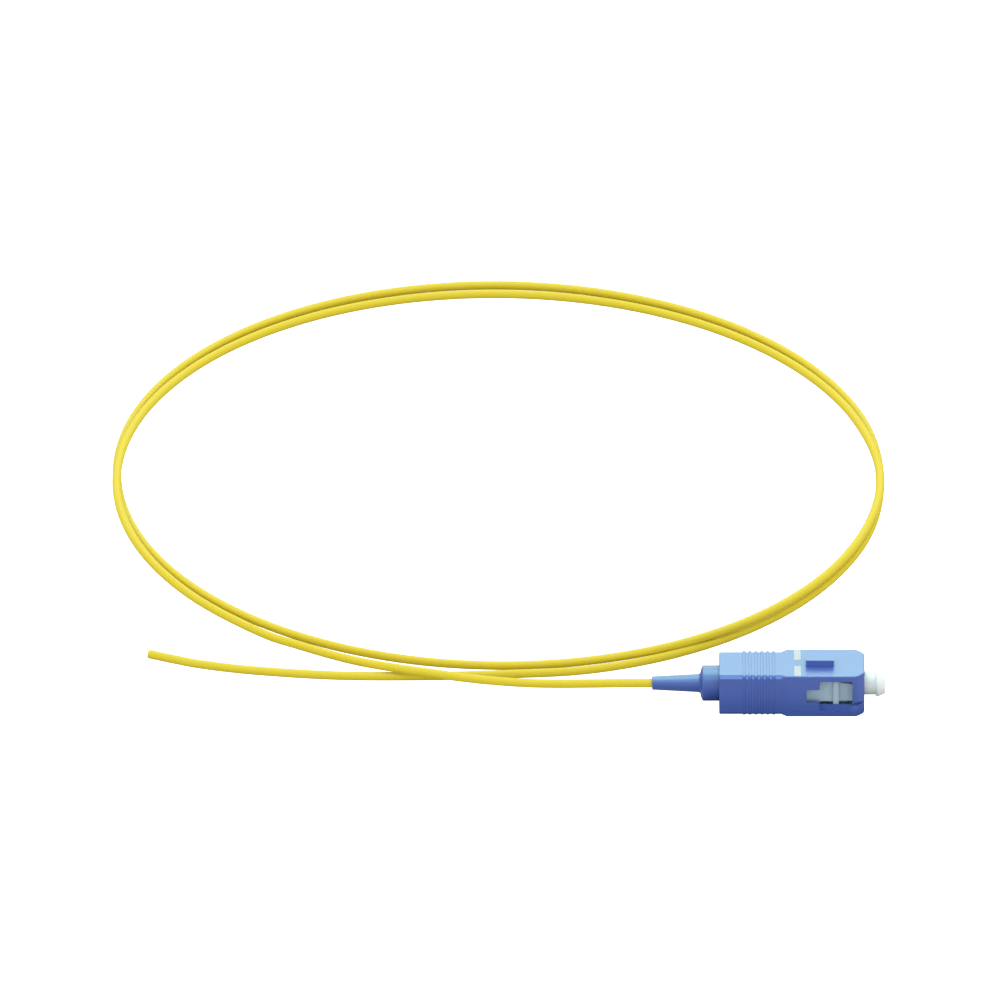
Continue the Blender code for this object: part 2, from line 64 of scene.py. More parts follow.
def linear(hex_colour):
    """An sRGB hex colour such as "#1F3FA8" as linear RGBA."""
    values = []
    for start in (1, 3, 5):
        part = int(hex_colour[start : start + 2], 16) / 255
        values.append(part / 12.92 if part <= 0.04045 else ((part + 0.055) / 1.055) ** 2.4)
    return (*values, 1.0)


def set_inputs(tree, node, inputs):
    """Link each input to another node's socket, or give it a value."""
    for key, value in inputs.items():
        if isinstance(value, bpy.types.NodeSocket):
            tree.links.new(value, node.inputs[key])
        else:
            node.inputs[key].default_value = value


def add_node(tree, kind, inputs=None, **settings):
    """Add a node with its own settings, and set its inputs."""
    node = tree.nodes.new(kind)
    for name, value in settings.items():
        setattr(node, name, value)
    set_inputs(tree, node, inputs or {})
    return node


print("mid grey in linear light:", round(linear("#808080")[0], 3))

# %% [markdown]
# The camera comes first, because everything else is judged through it. The picture shows the loop as
# an ellipse almost exactly half as high as it is wide, and its near and far sides are equally thick.
# That means a camera about 29 degrees above the floor, so far away that perspective hardly shows: a
# long lens from six metres.

# %% Camera
CAMERA_ELEVATION = math.radians(29.0)
CAMERA_DISTANCE = 6.0
PIXELS_PER_MM = 6.17
PICTURE_PIXELS = 1000
LOOK_AT = Vector((-43.05 * MM, 67.25 * MM, 0))

camera_data = bpy.data.cameras.new("camera")
field_width = PICTURE_PIXELS / PIXELS_PER_MM * MM
camera_data.lens = camera_data.sensor_width * CAMERA_DISTANCE / field_width
camera = bpy.data.objects.new("camera", camera_data)
bpy.context.scene.collection.objects.link(camera)
back = Vector((0, -math.cos(CAMERA_ELEVATION), math.sin(CAMERA_ELEVATION)))
camera.location = LOOK_AT + back * CAMERA_DISTANCE
camera.rotation_mode = "QUATERNION"
camera.rotation_quaternion = (-back).to_track_quat("-Z", "Y")
bpy.context.scene.camera = camera
print(f"lens {camera_data.lens:.0f} mm, field {field_width / MM:.1f} mm wide")

# %% [markdown]
# The cord is the largest thing in the picture. It could be simulated, but a picture shows exactly one
# way that it came to lie, so its centre line is written down instead: a short tail to the cut end, two
# loose turns that cross each other at the sides, and a lead that climbs over the tail to the plug.
# The tails are listed points, and the turns follow a rule. The second turn stops before it
# is complete, where the lead takes over.

# %% The cord's route
CORD_DIAMETER = 1.4 * MM
CORD_RADIUS = CORD_DIAMETER / 2
LOOP_X = -43.3 * MM
LOOP_NEAR_Y = 71.85 * MM
LOOP_FAR_Y = 74.8 * MM
LOOP_HALF_WIDTH = 61.9 * MM
LOOP_HALF_DEPTH = 63.7 * MM
LOOP_SKEW = 0.75 * MM
# In degrees from the near side: where the second turn climbs onto the first, and crosses it.
CLIMB_START = 8
CLIMB_END = 42
CROSS_START = 78
CROSS_END = 104
# Past the crossing it rides on the first near the sides, and moves nearer as it rises.
RIDE_REACH = 0.77
RIDE_SLANT = 1.8
# Where it lies on top of the first on the near side, it sits this far towards the viewer.
RIDE_LEAN = 0.25 * MM
TURN_POINTS = 28
LEAD_TAKES_OVER = TURN_POINTS - 3
POINTS_PER_SPAN = 6
STRAND_GAP = 0.35 * MM
# The cord starts out of sight, this far behind the ring that the boot hides.
START_BACK = 0.3 * MM

stop_low, stop_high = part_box("stop_ring")
boot_low, boot_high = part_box("boot")
AXIS_Z = (boot_low.z + boot_high.z) / 2

# Places in millimetres: X and Y on the floor for the cut end's tail, X, Y and Z for the plug's.
TAIL_ROUTE = [
    (-99.5, 14.9),
    (-95.8, 13.3),
    (-91.6, 11.65),
    (-85.5, 10.05),
    (-79.2, 8.95),
    (-72.1, 8.05),
    (-65.8, 7.65),
    (-58.6, 7.6),
    (-51.45, 7.75),
    (-44.0, 8.15),
]
PLUG_ROUTE = [
    (-81.7, 21.95, 0.8),
    (-75.2, 16.95, 1.1),
    (-68.8, 12.3, 1.6),
    (-63.95, 9.4, 2.0),
    (-59.1, 7.15, 2.35),
    (-54.3, 5.5, 2.5),
    (-49.5, 4.25, 2.4),
    (-44.7, 3.45, 2.25),
    (-39.0, 2.8, 2.15),
    (-33.5, 2.1, 2.4),
    (-27.1, 1.15, 3.0),
    (-22.5, 0.35, 3.5),
    (-18.7, 0.0, 3.7),
]


def smoothstep(value):
    """A soft step: 0 up to 0, 1 from 1 on, and level at both ends."""
    value = min(max(value, 0.0), 1.0)
    return value * value * (3 - 2 * value)


def loop_point(turn, angle):
    """A point of the first or second turn, at an angle from the loop's near side.

    The first turn lies on the floor. The second starts beyond it, climbs onto it on the right,
    crosses it at the loop's right side and then lies nearer than it. At the left side, where the
    two meet again, it passes over once more.
    """
    degrees = math.degrees(angle)
    spread = LOOP_FAR_Y - LOOP_NEAR_Y
    pitch = CORD_DIAMETER + STRAND_GAP
    cross = smoothstep((degrees - CROSS_START) / (CROSS_END - CROSS_START))
    middle_y = LOOP_NEAR_Y + spread * cross
    climb = 0.0
    if turn == 2:
        lift = smoothstep((degrees - CLIMB_START) / (CLIMB_END - CLIMB_START))
        if degrees < 90:
            climb = pitch * lift
        else:
            climb = pitch * smoothstep(1 - abs(math.cos(angle)) / RIDE_REACH)
        beyond = spread * (1 - lift) - RIDE_LEAN * lift
        nearer = spread + RIDE_SLANT * climb
        middle_y += beyond * (1 - cross) - nearer * cross
    x = LOOP_X + LOOP_HALF_WIDTH * math.sin(angle)
    y = middle_y - LOOP_HALF_DEPTH * math.cos(angle) - LOOP_SKEW * math.sin(angle)
    return Vector((x, y, CORD_RADIUS + climb))


def curve_through(points, per_span):
    """Points on a smooth Catmull-Rom curve through the given ones."""
    ends = [2 * points[0] - points[1], *points, 2 * points[-1] - points[-2]]
    found = []
    for before, start, end, after in zip(ends, ends[1:], ends[2:], ends[3:]):
        for step in range(per_span):
            t = step / per_span
            straight = 2 * start + (end - before) * t
            square = (2 * before - 5 * start + 4 * end - after) * t**2
            cube = (3 * start - before - 3 * end + after) * t**3
            found.append(0.5 * (straight + square + cube))
    found.append(points[-1])
    return found


turn_step = 2 * math.pi / TURN_POINTS
route = [Vector((x * MM, y * MM, CORD_RADIUS)) for x, y in TAIL_ROUTE]
route += [loop_point(1, number * turn_step) for number in range(1, TURN_POINTS + 1)]
route += [loop_point(2, number * turn_step) for number in range(1, LEAD_TAKES_OVER)]
route += [Vector((x * MM, y * MM, z * MM)) for x, y, z in PLUG_ROUTE]
cord_start = stop_low.x - START_BACK
route += [Vector((cord_start, 0, AXIS_Z))]
centre_line = curve_through(route, POINTS_PER_SPAN)
centre_line.reverse()
cord_length = sum((b - a).length for a, b in zip(centre_line, centre_line[1:]))
print(f"cord: {cord_length / MM:.0f} mm from inside the boot to the cut end")

# %% [markdown]
# Curves, modifiers and Booleans are all live in Blender. Each finished piece is turned into a plain
# mesh whose object sits at the origin, so that its place is in its points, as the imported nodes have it.

# %% Helpers that make and finish a mesh
def link(name, data):
    """Put a mesh, curve or light into the scene as an object."""
    obj = bpy.data.objects.new(name, data)
    bpy.context.scene.collection.objects.link(obj)
    return obj


def shape_from(bm, name, outwards=True):
    """Turn a bmesh into an object, with its faces pointing outwards unless told not to."""
    if outwards:
        bmesh.ops.recalc_face_normals(bm, faces=bm.faces)
    mesh = bpy.data.meshes.new(name)
    bm.to_mesh(mesh)
    bm.free()
    return link(name, mesh)


def baked(obj, name, *used_up):
    """Apply an object's modifiers and place: a plain mesh at the origin. Its helpers are removed."""
    bpy.context.view_layer.update()
    evaluated = obj.evaluated_get(bpy.context.evaluated_depsgraph_get())
    mesh = bpy.data.meshes.new_from_object(evaluated)
    mesh.transform(obj.matrix_world)
    for old in (obj, *used_up):
        bpy.data.objects.remove(old, do_unlink=True)
    mesh.name = name
    return link(name, mesh)


def smooth(obj, crease_degrees=32):
    """Shade smooth, with a crease wherever faces meet at more than this angle."""
    obj.data.shade_smooth()
    obj.data.set_sharp_from_angle(angle=math.radians(crease_degrees))
    return obj


def level_faces(obj):
    """Let the largest faces set the shading at their edges, so that flat faces look flat."""
    weighted = obj.modifiers.new("Level faces", "WEIGHTED_NORMAL")
    weighted.keep_sharp = True
    weighted.weight = 80
    return baked(smooth(obj), obj.name)


def describe(obj):
    """Print a piece's size in millimetres and how many faces it has."""
    places = [vertex.co / MM for vertex in obj.data.vertices]
    size = " x ".join(f"{max(axis) - min(axis):.2f}" for axis in zip(*places))
    print(f"{obj.name}: {size} mm, {len(obj.data.polygons)} faces")


def dress(obj, *materials):
    obj.data.materials.clear()
    for material in materials:
        obj.data.materials.append(material)
    describe(obj)
    return obj


# %% [markdown]
# The tube is a curve with a round bevel. At the cut end the jacket has been sliced square, so the cut
# shows what is inside: the yellow jacket, then a white buffer, then the coated glass fibre, which is
# only a quarter of a millimetre thick.

# %% The cord's tube and its cut end
CORD_ROUNDNESS = 10
BUFFER_DIAMETER = 0.9 * MM
FIBRE_DIAMETER = 0.25 * MM

curve = bpy.data.curves.new("yellow_cord", "CURVE")
curve.dimensions = "3D"
curve.bevel_depth = CORD_RADIUS
curve.bevel_resolution = CORD_ROUNDNESS
curve.use_fill_caps = True
spline = curve.splines.new("POLY")
spline.points.add(len(centre_line) - 1)
for place, point in zip(spline.points, centre_line):
    place.co = (*point, 1)
cord = baked(link("cord_curve", curve), "yellow_cord")

bm = bmesh.new()
bm.from_mesh(cord.data)
bmesh.ops.remove_doubles(bm, verts=bm.verts, dist=0.001 * MM)
cut_middle = centre_line[-1]
cap_fan = [
    face
    for face in bm.faces
    if len(face.verts) == 3 and (face.calc_center_median() - cut_middle).length < CORD_RADIUS
]
cut_face = bmesh.ops.dissolve_faces(bm, faces=cap_fan)["region"][0]
for ring, (inner, slot) in enumerate(((BUFFER_DIAMETER, 1), (FIBRE_DIAMETER, 2))):
    outer = CORD_DIAMETER if ring == 0 else BUFFER_DIAMETER
    bmesh.ops.inset_individual(bm, faces=[cut_face], thickness=(outer - inner) / 2)
    cut_face.material_index = slot
bm.to_mesh(cord.data)
bm.free()
smooth(cord)
print("the cord's UV maps:", ", ".join(layer.name for layer in cord.data.uv_layers))

# %% [markdown]
# The jacket is a soft plastic, extruded through a round die. That leaves an even satin skin with very
# faint lines along it. The pattern reads the tube's own UV map, so that it follows the cord round
# the loop.

# %% Material: extruded yellow jacket
def new_material(name):
    """A material with a bare Principled shader, and the place of each point on its piece."""
    material = bpy.data.materials.new(name)
    material.use_nodes = True
    tree = material.node_tree
    tree.nodes.clear()
    shader = add_node(tree, "ShaderNodeBsdfPrincipled")
    add_node(tree, "ShaderNodeOutputMaterial", {"Surface": shader.outputs["BSDF"]})
    place = add_node(tree, "ShaderNodeTexCoord").outputs["Object"]
    return material, tree, shader, place


def mixed_colour(tree, factor, low, high):
    """A colour that goes from one to the other with a factor."""
    mix = add_node(tree, "ShaderNodeMix", {"Factor": factor}, data_type="RGBA")
    # A Mix node has a pair of inputs for each type: 6 and 7 are its colours, and output 2 its result.
    for socket, colour in ((mix.inputs[6], low), (mix.inputs[7], high)):
        socket.default_value = linear(colour)
    return mix.outputs[2]


# The die's lines are finer than this on a real jacket. They are drawn this coarse so that they show.
LINE_LENGTH = 5.527 * MM
LINE_SPACING = 0.0916 * MM
JACKET_GRAIN = 0.12 * MM
KNIFE_MARKS = 0.03 * MM


def extruded_jacket():
    """Soft PVC from a round die: an even satin yellow that glows a little where light enters it."""
    material, tree, shader, place = new_material("extruded yellow PVC jacket")
    uv = add_node(tree, "ShaderNodeUVMap")
    # The map runs once from end to end in U, and once round the tube in V.
    lines_in_map = (cord_length / LINE_LENGTH, math.pi * CORD_DIAMETER / LINE_SPACING, 1.0)
    stretch = add_node(
        tree, "ShaderNodeMapping", {"Vector": uv.outputs["UV"], "Scale": lines_in_map}
    )
    lines = add_node(
        tree,
        "ShaderNodeTexNoise",
        {"Vector": stretch.outputs["Vector"], "Scale": 1.0, "Detail": 3.0, "Roughness": 0.6},
    )
    grain = add_node(
        tree, "ShaderNodeTexNoise", {"Vector": place, "Scale": 1 / JACKET_GRAIN, "Detail": 2.0}
    )
    colour = mixed_colour(tree, lines.outputs["Fac"], "#D2BE28", "#D9C736")
    roughness = add_node(
        tree, "ShaderNodeMapRange", {"Value": grain.outputs["Fac"], "To Min": 0.55, "To Max": 0.65}
    )
    bump = add_node(
        tree,
        "ShaderNodeBump",
        {"Height": grain.outputs["Fac"], "Distance": 0.004 * MM, "Strength": 0.6},
    )
    skin = {
        "Base Color": colour,
        "Roughness": roughness.outputs["Result"],
        "Normal": bump.outputs["Normal"],
        "IOR": 1.52,
        "Specular IOR Level": 0.12,
        "Subsurface Weight": 0.08,
        "Subsurface Radius": (1.0, 0.7, 0.15),
        "Subsurface Scale": 0.3 * MM,
    }
    set_inputs(tree, shader, skin)
    return material


def plain_core(name, colour, roughness, ior):
    """What the cut shows: one plain colour, with the fine roughness that the knife leaves."""
    material, tree, shader, place = new_material(name)
    grain = add_node(
        tree, "ShaderNodeTexNoise", {"Vector": place, "Scale": 1 / KNIFE_MARKS, "Detail": 2.0}
    )
    bump = add_node(
        tree, "ShaderNodeBump", {"Height": grain.outputs["Fac"], "Distance": 0.002 * MM}
    )
    skin = {"Base Color": linear(colour), "Roughness": roughness, "IOR": ior}
    set_inputs(tree, shader, skin | {"Normal": bump.outputs["Normal"]})
    return material


dress(
    cord,
    extruded_jacket(),
    # A hard, dull white sleeve of nylon, which shows as a pale ring in the cut.
    plain_core("white nylon buffer", "#EDEBE2", 0.5, 1.53),
    # A drawn glass fibre in a clear varnish: a small, grey green and glossy dot.
    plain_core("acrylate coated glass", "#9FB4B8", 0.15, 1.46),
)

# %% [markdown]
# The housing is the square shell that the fingers hold. Its shape follows a rule along its length: a
# section with flat sides and small corners, which changes from a chamfered grip to a full front. That
# makes it a loft: rings of points at stations along X, joined by faces. Modelling by loft gives soft
# edges where they are wanted and leaves large flat faces clean for the cuts.

# %% A section and a loft through sections
CORNER_STEPS = 6


def section(half_width, half_height, corner, chamfered, low_corner=None):
    """Points round a section. Its corners are round at chamfered 1 and straight chamfers at 2.

    The two lower corners may have a size of their own.
    """
    points = []
    top_corner = corner
    for side_y, side_z in ((1, 1), (-1, 1), (-1, -1), (1, -1)):
        corner = top_corner if side_z > 0 or low_corner is None else low_corner
        steps = range(CORNER_STEPS + 1)
        for step in steps if side_y == side_z else reversed(steps):
            angle = math.pi / 2 * step / CORNER_STEPS
            y = half_width - corner + corner * math.cos(angle) ** chamfered
            z = half_height - corner + corner * max(0.0, math.sin(angle)) ** chamfered
            points.append((side_y * y, side_z * z))
    return points


def loft(name, stations, ring=False):
    """Join sections at stations along X. A ring closes on itself, and a rod is capped."""
    bm = bmesh.new()
    rows = []
    for x, outline in stations:
        rows.append([bm.verts.new((x, y, AXIS_Z + z)) for y, z in outline])
    pairs = list(zip(rows, rows[1:]))
    if ring:
        pairs.append((rows[-1], rows[0]))
    for rear, front in pairs:
        for first in range(len(rear)):
            second = (first + 1) % len(rear)
            bm.faces.new((rear[first], rear[second], front[second], front[first]))
    if not ring:
        bm.faces.new(rows[0])
        bm.faces.new(rows[-1])
    return shape_from(bm, name)


# %% Sizes of the housing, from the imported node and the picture
housing_low, housing_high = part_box("grip_housing")
FRONT_X = housing_high.x
REAR_X = housing_low.x
HALF_WIDTH = (housing_high.y - housing_low.y) / 2
HALF_HEIGHT = AXIS_Z - housing_low.z
KEY_TOP = housing_high.z
GRIP_LENGTH = 10.0 * MM
RAMP_LENGTH = 0.9 * MM
GRIP_SIDE_INSET = 0.25 * MM
GRIP_TOP_INSET = 0.12 * MM
GRIP_CHAMFER = 0.5 * MM
EDGE_ROUND = 0.22 * MM
FRONT_CHAMFER = 1.25 * MM

ramp_rear = REAR_X + GRIP_LENGTH
ramp_front = ramp_rear + RAMP_LENGTH


def grip_section(grow=0.0, corner=GRIP_CHAMFER, chamfered=2.0, low_corner=None):
    """The grip's chamfered section, grown or shrunk all round."""
    width = HALF_WIDTH - GRIP_SIDE_INSET + grow
    height = HALF_HEIGHT - GRIP_TOP_INSET + grow
    return section(width, height, corner, chamfered, low_corner)


def front_section(side_in=0.0, top_in=0.0):
    """The full section of the front, drawn in at its sides and at its top and bottom."""
    return section(HALF_WIDTH - side_in, HALF_HEIGHT - top_in, EDGE_ROUND, 1.0)


# A few hundredths of a millimetre more or less soften the rear edge and the ramp's two bends.
stations = [
    (REAR_X, grip_section(-0.14 * MM)),
    (REAR_X + 0.04 * MM, grip_section(-0.06 * MM)),
    (REAR_X + 0.14 * MM, grip_section()),
    (ramp_rear - 0.12 * MM, grip_section()),
    (ramp_rear, grip_section(0.01 * MM, 0.46 * MM, 1.9)),
    (ramp_front - 0.15 * MM, front_section(0.03 * MM, 0.02 * MM)),
    (ramp_front, front_section()),
]
# Seen from above, each front corner is cut off at 45 degrees, with its two bends rounded.
CORNER_BEND = 0.35 * MM
bend_start = FRONT_X - FRONT_CHAMFER - CORNER_BEND
for step in range(5):
    along = step / 4
    x = bend_start + 2 * CORNER_BEND * along
    stations.append((x, front_section(side_in=CORNER_BEND * along**2)))
# Millimetres back from the front, and in from the cut corner and from the top: the front's edge.
for back_by, side_in, top_in in (
    (0.34, -0.34, 0.0),
    (0.2, -0.19, 0.015),
    (0.08, -0.02, 0.07),
    (0.0, 0.16, 0.16),
):
    stations.append(
        (FRONT_X - back_by * MM, front_section(FRONT_CHAMFER + side_in * MM, top_in * MM))
    )
shell = loft("housing_shell", stations)
print(f"housing: {len(stations)} stations, {(FRONT_X - REAR_X) / MM:.2f} mm long")

# %% [markdown]
# The openings are cut with Booleans, in the order in which a toolmaker thinks of them: the long cavity
# from the mouth, the round hole for the boot at the rear, and the T-shaped windows through which an
# adapter's hooks reach the latch. The small key on the top face is joined on, and so is the thin wall
# in the lower part of each window, with its ramp for the hook. One narrow Bevel at the end takes the
# knife edge off every cut, as a real mould does.

# %% Blocks, turned shapes and Booleans
ROUND_SIDES = 96
CUT_EDGE = 0.05 * MM
CUT_EDGE_ANGLE = 50


def block(name, rear_x, front_x, width, height, middle_z=None, middle_y=0.0, edge=0.0, axis=0):
    """A box between two places on X, with the edges along one axis rounded."""
    bm = bmesh.new()
    middle = ((rear_x + front_x) / 2, middle_y, AXIS_Z if middle_z is None else middle_z)
    size = Matrix.Diagonal((front_x - rear_x, width, height, 1))
    bmesh.ops.create_cube(bm, size=1.0, matrix=Matrix.Translation(middle) @ size)
    if edge:
        along = []
        for candidate in bm.edges:
            direction = candidate.verts[1].co - candidate.verts[0].co
            if abs(direction.normalized()[axis]) > 0.99:
                along.append(candidate)
        bmesh.ops.bevel(bm, geom=along, offset=edge, segments=4, profile=0.5, affect="EDGES")
    return shape_from(bm, name)


def rounded(outline, radius):
    """An outline of (X, radius) points with its corners rounded, except those on the axis."""
    points = [Vector(point) for point in outline]
    found = []
    for number, corner in enumerate(points):
        before = points[number - 1]
        after = points[(number + 1) % len(points)]
        if corner.y <= 0 or radius <= 0:
            found.append(corner)
            continue
        reach = min(radius, (before - corner).length * 0.45, (after - corner).length * 0.45)
        start = corner + (before - corner).normalized() * reach
        end = corner + (after - corner).normalized() * reach
        for step in range(5):
            t = step / 4
            found.append((1 - t) ** 2 * start + 2 * t * (1 - t) * corner + t**2 * end)
    return found


def turned(name, outline, rounding=0.0):
    """Turn an outline of (X, radius) points about the plug's axis.

    It runs from the front to the rear on the outside, and back through the bore if there is one.
    """
    points = rounded(outline, rounding)
    bm = bmesh.new()
    verts = [bm.verts.new((point.y, 0, point.x)) for point in points]
    for first, second in zip(verts, verts[1:]):
        bm.edges.new((first, second))
    if outline[0][1] > 0:
        bm.edges.new((verts[-1], verts[0]))
    obj = shape_from(bm, name, outwards=False)
    obj.location.z = AXIS_Z
    obj.rotation_euler.y = math.radians(90)
    screw = obj.modifiers.new("Turn", "SCREW")
    screw.steps = ROUND_SIDES
    screw.render_steps = ROUND_SIDES
    screw.use_merge_vertices = True
    screw.merge_threshold = 0.000001
    return baked(obj, name)


def combine(obj, operation, *others):
    """Join solids to an object, or cut them out of it."""
    for other in others:
        modifier = obj.modifiers.new(other.name, "BOOLEAN")
        modifier.operation = operation
        modifier.solver = "EXACT"
        modifier.object = other


def cut_edges(obj):
    """Round every sharp edge a little."""
    bevel = obj.modifiers.new("Cut edges", "BEVEL")
    bevel.width = CUT_EDGE
    bevel.segments = 2
    bevel.limit_method = "ANGLE"
    bevel.angle_limit = math.radians(CUT_EDGE_ANGLE)
    bevel.use_clamp_overlap = True


# %% Cut the housing
CAVITY_WIDTH = 7.2 * MM
CAVITY_HEIGHT = 6.0 * MM
LIP_LENGTH = 1.2 * MM
MOUTH_WIDTH = 6.0 * MM
MOUTH_HEIGHT = 5.8 * MM
CAVITY_REAR_BACK = 17.7 * MM
REAR_HOLE_DIAMETER = 6.1 * MM
WINDOW_BACK = 1.95 * MM
WINDOW_LENGTH = 5.25 * MM
WINDOW_HEIGHT = 5.4 * MM
NOTCH_LENGTH = 2.1 * MM
NOTCH_HEIGHT = 2.45 * MM
WINDOW_CORNER = 0.15 * MM
CHANNEL_HEIGHT = 0.55 * MM
CHANNEL_DEPTH = 1.15 * MM
CHANNEL_BELOW_AXIS = 1.45 * MM
HOOK_RAMP_START = 3.4 * MM
HOOK_RAMP_END = 0.4 * MM
HOOK_RAMP_DEPTH = 0.75 * MM
HOOK_RAMP_TOP = 1.9 * MM
HOOK_RAMP_SUNK = 0.03 * MM
HOOK_RAMP_WALL = 0.3 * MM
HOOK_RAMP_JOIN = 0.2 * MM
KEY_BACK = 4.9 * MM
KEY_LENGTH = 4.5 * MM
KEY_WIDTH = 2.4 * MM
KEY_EDGE = 0.12 * MM
KEY_SUNK = 0.4 * MM
CAVITY_CORNER = 0.3 * MM
MOUTH_CORNER = 0.25 * MM
# A cutter reaches this far past the surface that it opens.
PAST = 1.0 * MM

window_front = FRONT_X - WINDOW_BACK
window_rear = window_front - WINDOW_LENGTH
notch_rear = window_rear - NOTCH_LENGTH
cavity_rear = FRONT_X - CAVITY_REAR_BACK
across = 2 * HALF_WIDTH + 2 * PAST
key_front = FRONT_X - KEY_BACK
key_base = AXIS_Z + HALF_HEIGHT - KEY_SUNK
key = block(
    "key",
    key_front - KEY_LENGTH,
    key_front,
    KEY_WIDTH,
    KEY_TOP - key_base,
    middle_z=(KEY_TOP + key_base) / 2,
    edge=KEY_EDGE,
    axis=2,
)
lip_x = FRONT_X - LIP_LENGTH
cavity = block("cavity", cavity_rear, lip_x, CAVITY_WIDTH, CAVITY_HEIGHT, edge=CAVITY_CORNER)
mouth = block(
    "mouth", lip_x - LIP_LENGTH, FRONT_X + PAST, MOUTH_WIDTH, MOUTH_HEIGHT, edge=MOUTH_CORNER
)
rear_hole = turned(
    "rear_hole",
    [
        (cavity_rear + PAST, 0),
        (cavity_rear + PAST, REAR_HOLE_DIAMETER / 2),
        (REAR_X - PAST, REAR_HOLE_DIAMETER / 2),
        (REAR_X - PAST, 0),
    ],
)
window = block(
    "window", window_rear, window_front, across, WINDOW_HEIGHT, edge=WINDOW_CORNER, axis=1
)
notch_x = window_rear + PAST
notch = block(
    "notch", notch_rear, notch_x, across + PAST, NOTCH_HEIGHT, edge=WINDOW_CORNER, axis=1
)
channels = []
ramps = []
ramp_low = AXIS_Z - WINDOW_HEIGHT / 2 - HOOK_RAMP_JOIN
ramp_high = AXIS_Z - HOOK_RAMP_TOP
for side in (-1, 1):
    channels.append(
        block(
            f"channel_{side}",
            window_front - PAST,
            FRONT_X + PAST,
            2 * CHANNEL_DEPTH,
            CHANNEL_HEIGHT,
            middle_z=AXIS_Z - CHANNEL_BELOW_AXIS,
            middle_y=side * HALF_WIDTH,
        )
    )
    # The thin wall in the window carries a ramp that leads a hook out of the channel.
    bm = bmesh.new()
    inside = side * (HALF_WIDTH - HOOK_RAMP_DEPTH - HOOK_RAMP_WALL)
    deep = side * (HALF_WIDTH - HOOK_RAMP_DEPTH)
    outside = side * (HALF_WIDTH - HOOK_RAMP_SUNK)
    outline = (
        (window_rear - HOOK_RAMP_JOIN, inside),
        (window_rear - HOOK_RAMP_JOIN, deep),
        (window_front - HOOK_RAMP_START, deep),
        (window_front - HOOK_RAMP_END, outside),
        (window_front + HOOK_RAMP_JOIN, outside),
        (window_front + HOOK_RAMP_JOIN, inside),
    )
    low, high = ([bm.verts.new((x, y, z)) for x, y in outline] for z in (ramp_low, ramp_high))
    bm.faces.new(low)
    bm.faces.new(high)
    for first in range(len(outline)):
        second = (first + 1) % len(outline)
        bm.faces.new((low[first], low[second], high[second], high[first]))
    ramps.append(shape_from(bm, f"hook_ramp_{side}"))
cuts = [cavity, mouth, rear_hole, window, notch, *channels]
combine(shell, "UNION", key)
combine(shell, "DIFFERENCE", *cuts)
combine(shell, "UNION", *ramps)
cut_edges(shell)
shell = baked(shell, "housing_shell", key, *cuts, *ramps)
shell = level_faces(shell)
print(f"{len(cuts)} openings cut, {1 + len(ramps)} pieces joined on")

# %% [markdown]
# Six ribs stand round the grip, for the fingers. They are all the same and evenly spaced, so one rib
# is modelled as a thin ring, and Geometry Nodes repeat it. The tree has named inputs for the number
# of ribs and their spacing. It ends by making the copies real, because an export drops instances.

# %% Ribs by Geometry Nodes
RIB_COUNT = 6
RIB_PITCH = 0.95 * MM
RIB_WIDTH = 0.5 * MM
RIB_HEIGHT = 0.08 * MM
RIB_ROOT = 0.3 * MM
RIB_CHAMFER = 0.26 * MM
RIB_ROOT_CORNER = 0.3 * MM
LAST_RIB_BACK = 14.3 * MM


def node_tree(name, inputs):
    """A Geometry Nodes tree with a geometry input and output and other named inputs."""
    tree = bpy.data.node_groups.new(name, "GeometryNodeTree")
    tree.interface.new_socket("Geometry", in_out="INPUT", socket_type="NodeSocketGeometry")
    for label, kind in inputs:
        tree.interface.new_socket(label, in_out="INPUT", socket_type=kind)
    tree.interface.new_socket("Geometry", in_out="OUTPUT", socket_type="NodeSocketGeometry")
    return tree, add_node(tree, "NodeGroupInput")


def run_nodes(obj, tree, values, name):
    """Put a tree on an object, set its inputs by their identifiers, and bake the result."""
    modifier = obj.modifiers.new(tree.name, "NODES")
    modifier.node_group = tree
    for item in tree.interface.items_tree:
        if item.in_out == "INPUT" and item.name in values:
            modifier[item.identifier] = values[item.name]
    return baked(obj, name)


def finish_tree(tree, geometry, given):
    """End a tree: make its copies real and give them the material."""
    real = add_node(tree, "GeometryNodeRealizeInstances", {"Geometry": geometry})
    finish = add_node(
        tree,
        "GeometryNodeSetMaterial",
        {"Geometry": real.outputs["Geometry"], "Material": given.outputs["Material"]},
    )
    add_node(tree, "NodeGroupOutput", {"Geometry": finish.outputs["Geometry"]})
    return tree


def repeat_tree():
    """Copies of the given geometry, one pitch apart."""
    tree, given = node_tree(
        "repeat along X",
        [
            ("Count", "NodeSocketInt"),
            ("Pitch", "NodeSocketVector"),
            ("Material", "NodeSocketMaterial"),
        ],
    )
    line = add_node(
        tree,
        "GeometryNodeMeshLine",
        {"Count": given.outputs["Count"], "Offset": given.outputs["Pitch"]},
    )
    copies = add_node(
        tree,
        "GeometryNodeInstanceOnPoints",
        {"Points": line.outputs["Mesh"], "Instance": given.outputs["Geometry"]},
    )
    return finish_tree(tree, copies.outputs["Instances"], given)


# %% [markdown]
# The housing and the boot are moulded in the same blue. Such a plug is made of a hard polyester or
# ABS, with a satin, faintly grained skin from the mould. Two noises give that: one at the size of the
# grain, for the bump and the gloss, and one at the size of the flow of the plastic, for the colour.

# %% Material: moulded plastic
FLOW_SIZE = 2.5 * MM


